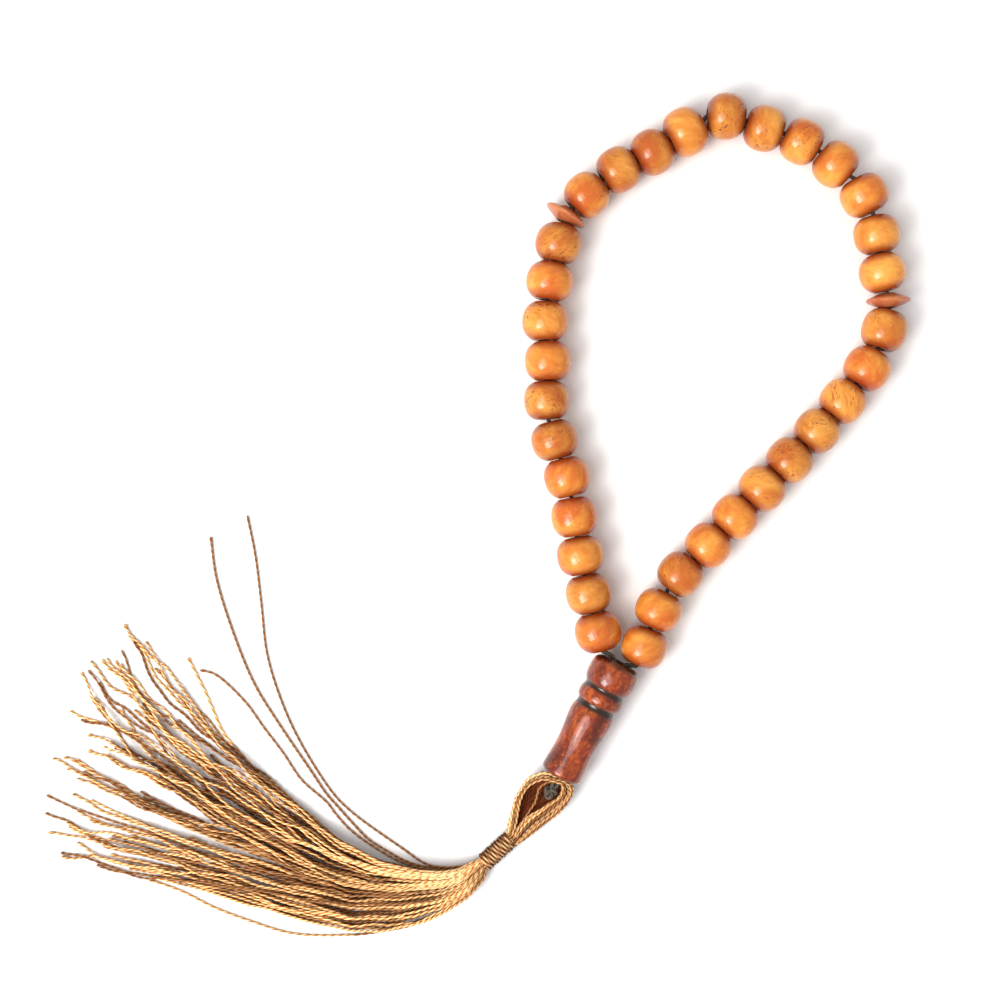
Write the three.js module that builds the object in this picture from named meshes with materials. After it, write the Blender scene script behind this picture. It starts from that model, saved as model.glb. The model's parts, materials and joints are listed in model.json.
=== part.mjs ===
// Misbaha (prayer beads), lying on a table in an open loop with its tassel swept out to one side.
// Thirty-three turned wooden beads are strung on one cord in three groups of eleven, with a thin
// disc between the groups. Both ends of the cord pass through a long turned bead, the imam, and are
// knotted below it, where a silk tassel hangs: an eye of looped threads, a wound binding and a skirt.
// Millimetres, +Z up, the table is Z = 0, and the origin is under the middle of the whole object.
import * as THREE from 'three';

// ---------- driving dimensions ----------
const BEAD_DIAMETER = 8.6;
const BEAD_WIDTH = 6.93; // along the cord
const GROUP_WIDTH_CHANGE = [0.06, -0.07, 0.13];
const BEAD_END_RADIUS = 2.2; // flat ring round the bore
const BEAD_SIDES = 14;
const BEADS_PER_GROUP = 11;
const BIG_BEADS = new Map([[10, 0.4], [15, 0.8], [20, 0.4], [28, 0.5]]); // extra diameter
const BORE_RADIUS = 1.05;
const END_GAP = 0.31; // between neighbours on the cord
const BEND_ROOM = 1.95; // more gap for each radian that the cord turns between two beads
const DISC_BEND_ROOM = 0.9; // the same beside a disc, whose faces slope away

const DISC_RADIUS = 4.15;
const DISC_WIDTH = 2.9;

const CORD_RADIUS = 0.4;

const IMAM_LENGTH = 23.5;
const IMAM_BORE_RADIUS = 1.3;
const IMAM_SIDES = 16;
const IMAM_FOOT = new THREE.Vector3(15.4, -47.6, 3.95); // middle of its lower end face
const IMAM_HEADING = 62.6; // degrees from +X
const IMAM_RISE = 2.3; // degrees: its head is fatter than its foot

const THREAD_RADIUS = 0.3;
const EYE_BUNDLE_RADIUS = 0.85;
const BINDING_RADIUS = 1.8;
const BINDING_BORE_RADIUS = 1.4;
const BINDING_TOP = new THREE.Vector3(6.5, -59.5, BINDING_RADIUS);
const BINDING_FOOT = new THREE.Vector3(1.3, -64.2, BINDING_RADIUS);
const LOCK_THICKNESS = 1.9;
const LOCK_GAP = 0.3;

// ---------- materials ----------
const finish = (color, roughness) => new THREE.MeshStandardMaterial({ color, roughness, metalness: 0 });
const HONEY_WOOD = finish('#d98a3c', 0.28);
const RED_WOOD = finish('#a8552c', 0.3);
const DARK_WOOD = finish('#8a3a1c', 0.22);
const GREY_CORD = finish('#77705f', 0.5);
const GOLD_SILK = finish('#c98a48', 0.45);
const BROWN_SILK = finish('#8e5a34', 0.5);

const misbaha = new THREE.Group();
misbaha.position.set(0.26, -0.2, 0); // brings the middle of the beads and the skirt over the origin
const UP = new THREE.Vector3(0, 0, 1);
const radians = THREE.MathUtils.degToRad;

function addNode(name, geometry, material) {
  const mesh = new THREE.Mesh(geometry, material);
  mesh.name = name;
  misbaha.add(mesh);
  return mesh;
}

// A turned solid on the Y axis, from [radius, y] points that run up its outside and whose bore closes it.
// Its flats are turned so that one of them faces down once the axis lies level.
function turned(profile, sides) {
  const points = profile.map(([radius, y]) => new THREE.Vector2(radius, y));
  points.push(points[0].clone());
  return new THREE.LatheGeometry(points, sides, Math.PI / sides);
}

// Lays a turned solid's axis along a direction, keeping its flat side down.
function layAlong(mesh, centre, direction) {
  const axis = direction.clone().normalize();
  const side = new THREE.Vector3().crossVectors(axis, UP).normalize();
  const top = new THREE.Vector3().crossVectors(side, axis);
  mesh.quaternion.setFromRotationMatrix(new THREE.Matrix4().makeBasis(side, axis, top));
  mesh.position.copy(centre);
}

function ellipse(halfWidth, halfHeight, sides) {
  const points = [];
  for (let i = 0; i < sides; i += 1) {
    const angle = (2 * Math.PI * i) / sides;
    points.push(new THREE.Vector2(halfWidth * Math.cos(angle), halfHeight * Math.sin(angle)));
  }
  return new THREE.Shape(points);
}

// A round or oval section swept along a route; by default it takes one step from each point to the next.
function tube(points, section, steps = points.length - 1) {
  const path = new THREE.CatmullRomCurve3(points, false, 'centripetal');
  path.getUtoTmapping = (u) => u;
  return new THREE.ExtrudeGeometry(section, { steps, bevelEnabled: false, extrudePath: path });
}

// ---------- the loop: where the cord runs, from the imam up one side and down the other ----------
const LOOP_ROUTE = [
  [23.1, -24.6], [22.3, -21.3], [20.5, -14.1], [19.0, -7.1], [16.6, 7.0], [14.3, 14.0], [12.9, 20.8],
  [13.1, 28.1], [12.6, 35.5], [13.4, 42.7], [15.0, 49.6], [16.3, 55.0], [20.2, 58.8], [25.2, 62.9],
  [31.7, 66.3], [38.1, 70.2], [44.9, 73.2], [51.8, 71.3], [59.2, 68.8], [65.3, 64.8], [70.5, 59.6],
  [73.1, 52.8], [74.2, 45.4], [75.5, 39.5], [74.7, 33.8], [71.6, 27.0], [62.4, 15.5], [52.2, 4.9],
  [41.8, -6.1], [36.5, -11.8], [32.9, -18.2], [30.6, -24.4], [29.5, -27.2],
];
const loop = new THREE.CatmullRomCurve3(
  LOOP_ROUTE.map(([x, y]) => new THREE.Vector3(x, y, 0)), false, 'centripetal');
loop.arcLengthDivisions = 2000;

// The pieces in order along the cord: eleven beads, a disc, eleven beads, a disc, eleven beads.
const strung = [];
for (let group = 0; group < 3; group += 1) {
  if (group > 0) strung.push({ disc: group, radius: DISC_RADIUS, width: DISC_WIDTH });
  for (let i = 1; i <= BEADS_PER_GROUP; i += 1) {
    const bead = group * BEADS_PER_GROUP + i;
    const sizeChange = (BIG_BEADS.get(bead) ?? 0) + 0.15 * Math.sin(2.4 * bead);
    const radius = (BEAD_DIAMETER + sizeChange) / 2;
    const width = BEAD_WIDTH + GROUP_WIDTH_CHANGE[group] + 0.1 * Math.sin(1.7 * bead);
    strung.push({ bead, radius, width });
  }
}

// They share the route's length in proportion to their widths, with more room where it turns.
const turnAt = (i) => (strung[i - 1]?.axis && strung[i]?.axis
  ? strung[i - 1].axis.angleTo(strung[i].axis) : 0);
const bendRoom = (i) => (strung[i - 1].disc || strung[i].disc ? DISC_BEND_ROOM : BEND_ROOM);
const spacing = (i) => (i === 0 ? strung[i].width / 2
  : (strung[i - 1].width + strung[i].width) / 2 + END_GAP + bendRoom(i) * turnAt(i));
const PLACING_PASSES = 6;
for (let pass = 0; pass < PLACING_PASSES; pass += 1) {
  const spacings = strung.map((piece, i) => spacing(i));
  const total = spacings.reduce((sum, length) => sum + length, strung.at(-1).width / 2);
  let travelled = 0;
  strung.forEach((piece, i) => {
    travelled += spacings[i] / total;
    piece.centre = loop.getPointAt(travelled);
    piece.axis = loop.getTangentAt(travelled);
    piece.centre.z = piece.radius * Math.cos(Math.PI / BEAD_SIDES);
  });
}

// A barrel: level in the middle, rounding over faster and faster to the flat ring round the bore.
function beadProfile(radius, width) {
  const half = width / 2;
  const stations = [-1, -0.92, -0.72, -0.12, 0.12, 0.72, 0.92, 1];
  const outside = stations.map((s) => {
    const rounding = Math.max(0, (Math.abs(s) - 0.12) / 0.88) ** 3;
    return [radius - (radius - BEAD_END_RADIUS) * rounding, s * half];
  });
  return [[BORE_RADIUS, -half], ...outside, [BORE_RADIUS, half]];
}

// A lens with a narrow rim.
function discProfile(radius, width) {
  const half = width / 2;
  return [
    [BORE_RADIUS, -half], [1.7, -0.86 * half], [3.0, -0.5 * half], [3.8, -0.25 * half], [radius, -0.1 * half],
    [radius, 0.1 * half], [3.8, 0.25 * half], [3.0, 0.5 * half], [1.7, 0.86 * half], [BORE_RADIUS, half],
  ];
}

for (const piece of strung) {
  const name = piece.disc ? `divider_disc_${piece.disc}` : `bead_${String(piece.bead).padStart(2, '0')}`;
  const profile = piece.disc ? discProfile(piece.radius, piece.width)
    : beadProfile(piece.radius, piece.width);
  const mesh = addNode(name, turned(profile, BEAD_SIDES), piece.disc ? RED_WOOD : HONEY_WOOD);
  layAlong(mesh, piece.centre, piece.axis);
}

// ---------- the imam: one long turned bead with two grooves below its round head ----------
const imamAxis = new THREE.Vector3(
  Math.cos(radians(IMAM_HEADING)) * Math.cos(radians(IMAM_RISE)),
  Math.sin(radians(IMAM_HEADING)) * Math.cos(radians(IMAM_RISE)),
  Math.sin(radians(IMAM_RISE)));
const imamSide = new THREE.Vector3().crossVectors(imamAxis, UP).normalize();
const imamPoint = (side, up) => IMAM_FOOT.clone()
  .addScaledVector(imamSide, side).addScaledVector(imamAxis, up);

const IMAM_PROFILE = [
  [IMAM_BORE_RADIUS, 0], [3.6, 0], [4.0, 0.5], [4.05, 1.4], [3.92, 5.0], [4.0, 8.0], [4.4, 12.0],
  [4.25, 13.2], [3.9, 14.0], [3.95, 14.6], [4.5, 15.5], [4.5, 16.5], [4.0, 17.7], [4.2, 18.3], [4.75, 19.5],
  [4.85, 20.6], [4.65, 22.0], [3.9, 22.9], [2.9, 23.4], [2.3, IMAM_LENGTH], [IMAM_BORE_RADIUS, 22.4],
];
layAlong(addNode('imam_bead', turned(IMAM_PROFILE, IMAM_SIDES), DARK_WOOD), IMAM_FOOT, imamAxis);

// ---------- the cord: through the imam, round the loop inside every bead, and back ----------
const STRAND_OFFSET = 0.55; // the two strands lie side by side in the imam
const cordPoints = [
  imamPoint(-STRAND_OFFSET, 0.3), imamPoint(-STRAND_OFFSET, 12), imamPoint(-STRAND_OFFSET, 21.8),
  imamPoint(-0.75, 22.9), imamPoint(-1.5, 23.75), imamPoint(-2.4, 24.0),
];
const mouth = (piece, end) => piece.centre.clone().addScaledVector(piece.axis, end * (piece.width / 2 + 0.2));
cordPoints.push(mouth(strung[0], -1));
for (const piece of strung) {
  const reach = (piece.disc ? 0.35 : 0.46) * piece.width;
  cordPoints.push(piece.centre.clone().addScaledVector(piece.axis, -reach));
  cordPoints.push(piece.centre.clone().addScaledVector(piece.axis, reach));
}
cordPoints.push(
  mouth(strung.at(-1), 1), imamPoint(2.3, 24.0), imamPoint(1.5, 23.75), imamPoint(0.75, 22.9),
  imamPoint(STRAND_OFFSET, 21.8),
  imamPoint(STRAND_OFFSET, 12), imamPoint(STRAND_OFFSET, 0.3));
addNode('stringing_cord', tube(cordPoints, ellipse(CORD_RADIUS, CORD_RADIUS, 8)), GREY_CORD);

// The cord's ends leave the imam together and are knotted inside the tassel's eye.
const KNOT_PROFILE = [
  [0, -5.0], [0.8, -4.8], [1.25, -4.1], [1.25, -3.3], [0.8, -2.6], [0.62, -1.9], [0.62, -0.9], [0, -0.5],
];
const knotGeometry = new THREE.LatheGeometry(KNOT_PROFILE.map(([r, y]) => new THREE.Vector2(r, y)), 10);
layAlong(addNode('cord_knot', knotGeometry, GREY_CORD), IMAM_FOOT, imamAxis);

// ---------- the tassel's eye: two bowed bundles of thread, and a flat layer behind them ----------
const EYE_LEFT_ROUTE = [
  [12.2, -48.5, 3.9], [9.9, -49.7, 3.4], [8.5, -51.7, 2.8], [7.6, -54.1, 2.3], [6.9, -56.6, 2.0],
  [6.25, -58.4, 1.8],
];
const EYE_RIGHT_ROUTE = [
  [16.0, -50.4, 3.7], [16.1, -52.1, 3.1], [15.0, -53.8, 2.6], [13.0, -55.3, 2.2], [10.4, -57.3, 1.9],
  [7.55, -59.75, 1.8],
];
const EYE_BACK_ROUTE = [[13.4, -51.2, 1.2], [11.6, -53.0, 0.95], [9.6, -55.3, 0.7], [8.0, -57.2, 0.56]];
const EYE_BACK_HALF_WIDTH = 1.6;
const EYE_BACK_HALF_HEIGHT = 0.32;
const vectors = (route) => route.map(([x, y, z]) => new THREE.Vector3(x, y, z));
const bundleSection = ellipse(EYE_BUNDLE_RADIUS, EYE_BUNDLE_RADIUS, 8);
addNode('tassel_eye_left', tube(vectors(EYE_LEFT_ROUTE), bundleSection, 10), GOLD_SILK);
addNode('tassel_eye_right', tube(vectors(EYE_RIGHT_ROUTE), bundleSection, 10), GOLD_SILK);

const backSection = ellipse(EYE_BACK_HALF_HEIGHT, EYE_BACK_HALF_WIDTH, 10);
addNode('tassel_eye_back', tube(vectors(EYE_BACK_ROUTE), backSection, 8), BROWN_SILK);

// ---------- the binding: a sleeve of wound thread, and the gathered threads inside it ----------
const bindingAxis = new THREE.Vector3().subVectors(BINDING_TOP, BINDING_FOOT).normalize();
const bindingLength = BINDING_TOP.distanceTo(BINDING_FOOT);
const TURN_DEPTH = 0.15;
const BINDING_TURNS = 5;
const bindingProfile = [[BINDING_BORE_RADIUS, 0], [BINDING_RADIUS - TURN_DEPTH, 0]];
for (let turn = 0; turn < BINDING_TURNS; turn += 1) {
  bindingProfile.push([BINDING_RADIUS, ((turn + 0.5) * bindingLength) / BINDING_TURNS]);
  bindingProfile.push([BINDING_RADIUS - TURN_DEPTH, ((turn + 1) * bindingLength) / BINDING_TURNS]);
}
bindingProfile.push([BINDING_BORE_RADIUS, bindingLength]);
layAlong(addNode('tassel_binding', turned(bindingProfile, 12), BROWN_SILK), BINDING_FOOT, bindingAxis);

const CORE_RADIUS = 1.05;
const coreGeometry = new THREE.CylinderGeometry(CORE_RADIUS, CORE_RADIUS, bindingLength - 0.2, 10);
const coreCentre = BINDING_TOP.clone().add(BINDING_FOOT).multiplyScalar(0.5);
layAlong(addNode('tassel_core', coreGeometry, GOLD_SILK), coreCentre, bindingAxis);

// ---------- the skirt: flat locks of thread that fan out over the table ----------
// A seam is the line between two locks while they still lie together. Every route runs outwards.
const SKIRT_TOP = [[-0.9, -63.9], [-3.2, -64.9], [-6.5, -65.4], [-10.4, -65.2], [-17.8, -63.6],
  [-25.1, -59.8], [-32.5, -54.1], [-39.8, -48.0], [-46.3, -43.1], [-52.7, -36.1], [-57.3, -30.2],
  [-61.4, -23.4]];
const SEAM_1 = [[-0.2, -64.6], [-2.8, -66.0], [-6.5, -66.7], [-10.8, -66.7], [-19.6, -66.0],
  [-27.0, -63.9], [-34.3, -60.5], [-41.7, -56.4]];
const SEAM_2 = [[0.7, -64.9], [-2.3, -67.2], [-6.5, -68.8], [-14.1, -69.6], [-23.3, -69.2],
  [-31.0, -66.9], [-39.8, -63.9], [-49.0, -60.6], [-56.4, -57.8], [-63.8, -54.7], [-68.5, -52.3]];
const SEAM_3 = [[1.0, -65.7], [-1.8, -68.6], [-6.7, -71.1], [-14.1, -72.9], [-23.3, -73.3],
  [-32.5, -71.5], [-41.7, -68.9], [-50.9, -66.6], [-58.0, -65.2]];
const SKIRT_FOOT = [[1.4, -66.9], [-1.6, -70.2], [-5.6, -73.1], [-10.4, -75.5], [-15.9, -76.8],
  [-23.3, -76.7], [-30.6, -75.2], [-36.2, -73.4], [-43.5, -71.2], [-50.9, -68.8], [-58.2, -67.2]];
const LOCKS = {
  skirt_lock_upper: {
    above: SKIRT_TOP,
    tips: [[-65.2, -20.4], [-66.0, -24.6], [-71.3, -27.2], [-72.8, -29.6], [-71.0, -33.3]],
    below: [...SEAM_1, [-48.1, -52.0], [-54.6, -47.2], [-60.1, -42.1], [-66.0, -36.0]],
  },
  skirt_lock_middle: {
    above: [...SEAM_1, [-48.1, -53.8], [-51.8, -51.0], [-57.3, -47.4], [-62.8, -44.3], [-68.2, -42.0]],
    tips: [[-72.2, -42.4], [-78.4, -45.0], [-76.1, -47.6], [-73.4, -50.0]],
    below: SEAM_2,
  },
  skirt_lock_lower: {
    above: SEAM_2,
    tips: [[-73.6, -51.6], [-79.8, -52.4], [-80.0, -55.2], [-79.4, -58.7], [-77.2, -62.8], [-71.0, -63.2]],
    below: [...SEAM_3, [-64.0, -64.0]],
  },
  skirt_lock_outer: { above: SEAM_3, tips: [[-60.5, -66.2]], below: SKIRT_FOOT },
};

const lowered = (route, drop) => route.map(([x, y]) => [x, y - drop]);
for (const [name, { above, tips, below }] of Object.entries(LOCKS)) {
  const outline = [...lowered(above, LOCK_GAP), ...lowered(tips, LOCK_GAP / 2), ...[...below].reverse()];
  const shape = new THREE.Shape(outline.map(([x, y]) => new THREE.Vector2(x, y)));
  addNode(name, new THREE.ExtrudeGeometry(shape, { depth: LOCK_THICKNESS, bevelEnabled: false }), GOLD_SILK);
}

// ---------- single threads that have strayed from the skirt, lying on the table ----------
const THREAD_Z = THREAD_RADIUS + 0.02;
const STRAYS = {
  stray_thread_1: [[-13.0, -64.2], [-16.8, -62.2], [-20.2, -60.0], [-22.6, -57.6], [-25.5, -54.4],
    [-27.9, -51.7], [-30.6, -47.7], [-37.1, -38.1], [-41.1, -31.6], [-44.6, -23.4], [-48.3, -11.8],
    [-49.4, -4.0]],
  stray_thread_2: [[-9.5, -64.6], [-14.1, -61.6], [-21.4, -56.5], [-24.2, -54.2], [-26.6, -51.7],
    [-32.3, -42.9], [-36.0, -35.1], [-38.9, -25.8], [-40.0, -16.4], [-41.1, -7.5], [-42.6, 0.0]],
  stray_thread_3: [[-26.2, -55.4], [-27.8, -53.3], [-32.5, -49.1], [-36.0, -44.0], [-39.5, -39.4],
    [-43.0, -34.6], [-48.6, -29.5], [-51.4, -28.7]],
  stray_thread_4: [[-44.6, -43.3], [-46.9, -40.6], [-50.4, -32.8], [-53.6, -26.4]],
  stray_thread_5: [[-19.4, -77.5], [-24.0, -77.9], [-34.1, -77.6], [-41.7, -75.4], [-48.9, -72.7],
    [-54.7, -69.8], [-60.8, -67.6]],
};
const threadSection = ellipse(THREAD_RADIUS, THREAD_RADIUS, 8);
for (const [name, route] of Object.entries(STRAYS)) {
  const points = route.map(([x, y]) => new THREE.Vector3(x, y, THREAD_Z));
  addNode(name, tube(points, threadSection, 2 * points.length), GOLD_SILK);
}

export default misbaha;
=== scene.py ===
"""Looks of the misbaha: varnished wooden beads on a nylon cord, and a silk tassel of two-ply threads.

Shapes are worked out in millimetres in the same coordinates as the CAD source, whose group is moved by
SHIFT, and written as meshes in metres.
"""
import json
import math

import bpy
import numpy as np
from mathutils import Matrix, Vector


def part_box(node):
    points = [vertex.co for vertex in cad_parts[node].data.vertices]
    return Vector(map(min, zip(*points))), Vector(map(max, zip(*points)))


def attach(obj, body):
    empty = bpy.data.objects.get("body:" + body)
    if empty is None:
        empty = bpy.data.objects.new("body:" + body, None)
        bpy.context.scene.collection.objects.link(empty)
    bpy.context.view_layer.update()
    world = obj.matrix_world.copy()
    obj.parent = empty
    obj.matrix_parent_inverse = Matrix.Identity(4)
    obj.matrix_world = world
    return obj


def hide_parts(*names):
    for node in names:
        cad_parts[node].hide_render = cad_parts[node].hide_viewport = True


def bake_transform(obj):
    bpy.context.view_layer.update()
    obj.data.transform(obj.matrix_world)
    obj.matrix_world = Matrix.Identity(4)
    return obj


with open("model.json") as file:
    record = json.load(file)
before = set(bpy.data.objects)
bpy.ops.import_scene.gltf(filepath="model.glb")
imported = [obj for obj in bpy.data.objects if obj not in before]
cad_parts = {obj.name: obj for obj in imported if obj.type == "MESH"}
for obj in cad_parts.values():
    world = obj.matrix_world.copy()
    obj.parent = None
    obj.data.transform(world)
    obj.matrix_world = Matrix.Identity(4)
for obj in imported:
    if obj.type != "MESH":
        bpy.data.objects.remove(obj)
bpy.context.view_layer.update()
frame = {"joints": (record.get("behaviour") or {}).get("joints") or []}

# ---------- sizes and places that the CAD source states too, in millimetres ----------
SHIFT = np.array([0.26, -0.2, 0.0])
MM = 0.001
BEAD_WIDTH = 6.93
GROUP_WIDTH_CHANGE = (0.06, -0.07, 0.13)
BEAD_END_RADIUS = 2.2
DISC_WIDTH = 2.9
BORE_RADIUS = 1.05
CORD_RADIUS = 0.4
STRAND_OFFSET = 0.55
IMAM_FOOT = np.array([15.4, -47.6, 3.95])
IMAM_HEADING = 62.6
IMAM_RISE = 2.3
BINDING_TOP = np.array([6.5, -59.5, 1.8])
BINDING_FOOT = np.array([1.3, -64.2, 1.8])
THREAD_RADIUS = 0.25
THREAD_PITCH = 2.6  # one full turn of its two plies
UP = np.array([0, 0, 1.0])

rng = np.random.default_rng(33)


def any_phase():
    """A random start for a twist or a wave, in radians."""
    return rng.uniform(0, 6.28)


# ======================= camera, floor and light =======================
VIEW_CENTRE = (4.6, 2.7)
VIEW_WIDTH = 184.0
VIEW_LEVEL = 3.0  # the height above the table where the frame is VIEW_WIDTH across
CAMERA_HEIGHT = 300.0
SENSOR = 36.0
WORLD_STRENGTH = 0.62


def add_camera():
    data = bpy.data.cameras.new("camera")
    data.sensor_width = SENSOR
    data.lens = SENSOR * (CAMERA_HEIGHT - VIEW_LEVEL) / VIEW_WIDTH
    data.clip_start = 0.01
    camera = bpy.data.objects.new("camera", data)
    camera.location = (VIEW_CENTRE[0] * MM, VIEW_CENTRE[1] * MM, CAMERA_HEIGHT * MM)
    bpy.context.scene.collection.objects.link(camera)
    bpy.context.scene.camera = camera


def add_area_light(name, azimuth, elevation, distance, size, power, colour=(1, 1, 1)):
    """A square soft box that faces the middle of the object, in metres, watts and degrees.

    The azimuth is counted from +X towards +Y.
    """
    data = bpy.data.lights.new(name, "AREA")
    data.shape = "SQUARE"
    data.size = size
    data.energy = power
    data.color = colour
    light = bpy.data.objects.new(name, data)
    a, e = math.radians(azimuth), math.radians(elevation)
    offset = Vector((math.cos(a) * math.cos(e), math.sin(a) * math.cos(e), math.sin(e)))
    light.location = offset * distance
    light.rotation_euler = offset.to_track_quat("Z", "Y").to_euler()
    bpy.context.scene.collection.objects.link(light)


def add_light():
    bpy.context.scene.view_settings.view_transform = "Standard"
    world = bpy.data.worlds.new("studio")
    bpy.context.scene.world = world
    world.use_nodes = True
    background = world.node_tree.nodes["Background"]
    background.inputs["Color"].default_value = (1.0, 1.0, 1.0, 1.0)
    background.inputs["Strength"].default_value = WORLD_STRENGTH
    add_area_light("key_light", 215, 47, 0.8, 0.34, 4.2, (1.0, 0.98, 0.95))
    add_area_light("soft_light", 205, 60, 0.9, 0.6, 4.4)


# ======================= materials =======================
class Shading:
    """A material with a Principled shader, and short ways to add nodes to it."""

    MIX_INPUTS = (0, 6, 7)  # of a colour Mix node: its factor and its two colours
    MIX_COLOUR = 2

    def __init__(self, name, **values):
        self.material = bpy.data.materials.new(name)
        self.material.use_nodes = True
        self.tree = self.material.node_tree
        self.shader = self.tree.nodes["Principled BSDF"]
        for socket, value in values.items():
            self.shader.inputs[socket.replace("_", " ")].default_value = value

    def add(self, kind, links=(), **values):
        node = self.tree.nodes.new(kind)
        for key, value in values.items():
            setattr(node, key, value)
        for socket, source in dict(links).items():
            target = node.inputs[socket]
            if isinstance(source, bpy.types.NodeSocket):
                self.tree.links.new(source, target)
            else:
                target.default_value = source
        return node

    def attribute(self, name, output="Fac"):
        return self.add("ShaderNodeAttribute", attribute_name=name).outputs[output]

    def stretched(self, vector, scale):
        """The vector with its three parts scaled; a small scale draws the pattern out that way."""
        return self.add("ShaderNodeMapping", {"Vector": vector, "Scale": scale}).outputs[0]

    def noise(self, vector, scale, detail=3.0, roughness=0.5):
        links = {"Vector": vector, "Scale": scale, "Detail": detail, "Roughness": roughness}
        return self.add("ShaderNodeTexNoise", links).outputs["Fac"]

    def ramp(self, factor, stops):
        node = self.add("ShaderNodeValToRGB", {"Fac": factor})
        elements = node.color_ramp.elements
        while len(elements) < len(stops):
            elements.new(0.5)
        for element, (position, colour) in zip(elements, stops):
            element.position = position
            element.color = colour
        return node.outputs["Color"]

    def step(self, factor, low, high, start=0.0, end=1.0):
        """From start where the factor is low to end where it is high."""
        links = {0: factor, 1: low, 2: high, 3: start, 4: end}
        return self.add("ShaderNodeMapRange", links).outputs[0]

    def mix(self, factor, first, second, blend="MIX"):
        node = self.add("ShaderNodeMix", data_type="RGBA", blend_type=blend)
        for index, source in zip(self.MIX_INPUTS, (factor, first, second)):
            if isinstance(source, bpy.types.NodeSocket):
                self.tree.links.new(source, node.inputs[index])
            else:
                node.inputs[index].default_value = source
        return node.outputs[self.MIX_COLOUR]

    def math(self, operation, first, second):
        return self.add("ShaderNodeMath", {0: first, 1: second}, operation=operation).outputs[0]

    def bump(self, height, strength, distance):
        links = {"Height": height, "Strength": strength, "Distance": distance}
        normal = self.add("ShaderNodeBump", links).outputs[0]
        self.tree.links.new(normal, self.shader.inputs["Normal"])

    def use(self, source, socket):
        self.tree.links.new(source, self.shader.inputs[socket])


def wood_material(name, light, middle, dark, end, stain, pores, mottle, streaks, roughness, patches=1.5,
                  coat=0.7):
    """Turned wood under clear varnish.

    The meshes carry grain (place in the piece, in mm), tint, pores, ends and stain. The higher the level
    pores, the fewer pores there are. mottle and streaks are the strength of the blotches and of the lines,
    and patches is the scale of the blotches.
    """
    s = Shading(name, Roughness=roughness, Coat_Weight=coat, Coat_Roughness=0.14, Specular_IOR_Level=0.12)
    grain = s.attribute("grain", "Vector")
    figure = s.noise(s.stretched(grain, (1.0, 1.0, 0.45)), 0.3, 3.0, 0.6)
    colour = s.ramp(figure, [(0.36, dark), (0.5, middle), (0.66, light)])
    lines = s.noise(s.stretched(grain, (2.6, 2.6, 0.4)), 1.0, 4.0, 0.65)
    colour = s.mix(s.step(lines, 0.48, 0.78, 0.0, streaks), colour, dark)
    blotches = s.noise(grain, patches, 4.0, 0.7)
    colour = s.mix(s.step(blotches, 0.46, 0.66, 0.0, mottle), colour, dark)
    colour = s.mix(s.step(blotches, 0.46, 0.34, 0.0, 0.8 * mottle), colour, light)
    speckle = s.noise(s.stretched(grain, (1.0, 1.0, 0.7)), 3.8, 2.0, 0.55)
    where = s.noise(grain, 0.4, 1.0)
    share = s.math("MULTIPLY", s.step(speckle, pores, pores + 0.09), s.step(where, 0.42, 0.6, 0.1, 1.0))
    share = s.math("MULTIPLY", share, s.attribute("pores"))
    colour = s.mix(share, colour, stain)
    # Darker towards a piece's ends: on the beads partly the end grain's own colour, partly painted shade
    # along the seams between beads.
    colour = s.mix(s.attribute("ends"), colour, end)
    colour = s.mix(s.attribute("stain"), colour, stain)
    tint = s.step(s.attribute("tint"), -1.0, 1.0, 0.85, 1.12)
    bright = s.add("ShaderNodeHueSaturation", {"Value": tint, "Color": colour}).outputs[0]
    s.use(bright, "Base Color")
    waves = s.noise(grain, 0.9, 3.0)
    s.bump(s.math("SUBTRACT", waves, s.math("MULTIPLY", share, 1.5)), 0.3, 0.00008)
    return s.material


def thread_material(name, painted_crease_shade, body, painted_crest_highlight, deep, roughness=0.4):
    """Silky thread of twisted plies.

    The meshes carry ply (1 on a ply's back, 0 between the plies), tint, fibre, and deep (1 where it is
    darkest). The ply colours paint shade between the plies and a highlight along each ply's back; deep is
    painted shade, and on some threads their own darker tone.
    """
    s = Shading(name, Roughness=roughness, Specular_IOR_Level=0.04)
    ply = s.attribute("ply")
    # Painted shade between the plies and painted highlight along each ply's back.
    colour = s.ramp(ply, [(0.04, painted_crease_shade), (0.34, body), (0.82, painted_crest_highlight)])
    fibre = s.attribute("fibre", "Vector")
    hairs = s.noise(s.stretched(fibre, (0.8, 5.0, 5.0)), 3.0, 2.0)
    colour = s.mix(s.step(hairs, 0.45, 0.75, 0.0, 0.35), colour, painted_crease_shade)
    value = s.step(s.attribute("tint"), -1.0, 1.0, 0.6, 1.25)
    colour = s.add("ShaderNodeHueSaturation", {"Value": value, "Color": colour}).outputs[0]
    # Painted shade where a thread lies low in a bundle, under others or on its sides; on some threads also
    # their own darker tone.
    colour = s.mix(s.attribute("deep"), colour, deep)
    s.use(colour, "Base Color")
    s.bump(hairs, 0.3, 0.00004)
    return s.material


def floor_material():
    floor_white = (0.93, 0.93, 0.93, 1)
    return Shading("table", Roughness=0.9, Specular_IOR_Level=0.1, Base_Color=floor_white).material


def add_floor():
    half = 3.0
    corners = [(-half, -half, 0), (half, -half, 0), (half, half, 0), (-half, half, 0)]
    mesh = bpy.data.meshes.new("floor")
    mesh.from_pydata(corners, [], [(0, 1, 2, 3)])
    floor = bpy.data.objects.new("floor", mesh)
    mesh.materials.append(floor_material())
    bpy.context.scene.collection.objects.link(floor)


def colour(red, green, blue):
    """A colour in linear values."""
    return (red, green, blue, 1.0)


# The beads' end colour is partly end grain and partly painted shade at the seams.
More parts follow.
